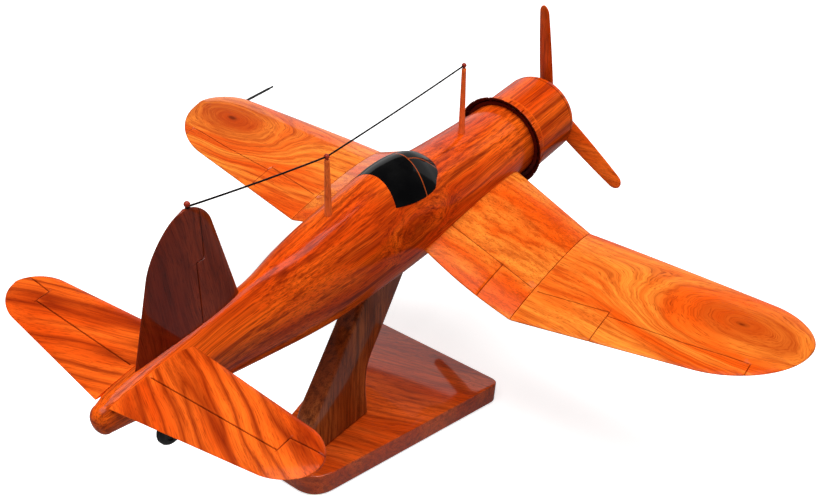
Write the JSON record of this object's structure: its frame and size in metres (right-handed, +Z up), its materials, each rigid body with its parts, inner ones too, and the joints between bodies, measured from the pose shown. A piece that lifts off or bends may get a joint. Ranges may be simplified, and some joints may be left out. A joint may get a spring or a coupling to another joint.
{
  "type": "propeller plane model",
  "caption": "Carved wooden desk model of an inverted-gull-wing propeller aeroplane with a turning propeller, on a slanted wooden display stand.",
  "frame": {"origin": "centre of the stand's underside, on the surface that it rests on", "axes": "+Z up; the aeroplane's nose points to -Y, its port wing to +X; the aeroplane sits 7 degrees nose-up"},
  "size_m": [0.392, 0.3416, 0.1983],
  "materials": {
    "red_wood": "high-gloss clear lacquer over red-brown hardwood",
    "gold_wood": "high-gloss clear lacquer over golden hardwood",
    "dark_wood": "high-gloss clear lacquer over dark stained hardwood",
    "maroon_stain": "gloss, near-black stain",
    "black_gloss": "black gloss lacquer",
    "pin_red": "gloss red-brown enamel",
    "black_wire": "satin black",
    "steel": "bright zinc-plated",
    "birch_dowel": "raw turned dowel",
    "felt": "matt felt"
  },
  "bodies": {
    "stand": {"felt_pad": "felt", "base_plate": "red_wood", "stand_arm": "dark_wood", "mounting_peg": "birch_dowel", "base_screw_1": "steel", "base_screw_2": "steel"},
    "aeroplane": {"fuselage": "red_wood", "cowling": "red_wood", "cowl_flap_ring": "red_wood", "left_stabilizer": "red_wood", "right_stabilizer": "red_wood", "forward_mast": "red_wood", "aft_mast": "red_wood", "left_inner_wing": "gold_wood", "right_inner_wing": "gold_wood", "left_outer_wing": "gold_wood", "right_outer_wing": "gold_wood", "fin": "dark_wood", "cowl_baffle": "maroon_stain", "canopy": "black_gloss", "engine_face": "black_gloss", "tail_wheel_fork": "black_gloss", "forward_mast_pin": "pin_red", "aft_mast_pin": "pin_red", "fin_pin": "pin_red", "aerial_wire_front": "black_wire", "aerial_wire_rear": "black_wire", "pitot_tube": "black_wire", "tail_wheel_axle": "steel", "left_root_dowel": "birch_dowel", "right_root_dowel": "birch_dowel", "left_fold_dowel": "birch_dowel", "right_fold_dowel": "birch_dowel", "fin_dowel_1": "birch_dowel", "fin_dowel_2": "birch_dowel", "stabilizer_dowel": "birch_dowel"},
    "propeller": {"propeller_hub": "dark_wood", "propeller_blade_1": "red_wood", "propeller_blade_2": "red_wood", "propeller_blade_3": "red_wood", "propeller_shaft": "steel"},
    "tail_wheel": {"tail_wheel": "black_gloss"}
  },
  "joints": [
    {"name": "aeroplane_lift", "type": "slide", "parent": "stand", "child": "aeroplane", "axis": [0, 0, 1], "range_m": [0, 0.06]},
    {"name": "propeller_spin", "type": "hinge", "parent": "aeroplane", "child": "propeller", "pos_m": [0, -0.16578, 0.13507], "axis": [0, 0.9925, -0.1219], "continuous": true},
    {"name": "tail_wheel_spin", "type": "hinge", "parent": "aeroplane", "child": "tail_wheel", "pos_m": [0, 0.13132, 0.0865], "axis": [1, 0, 0], "continuous": true}
  ]
}
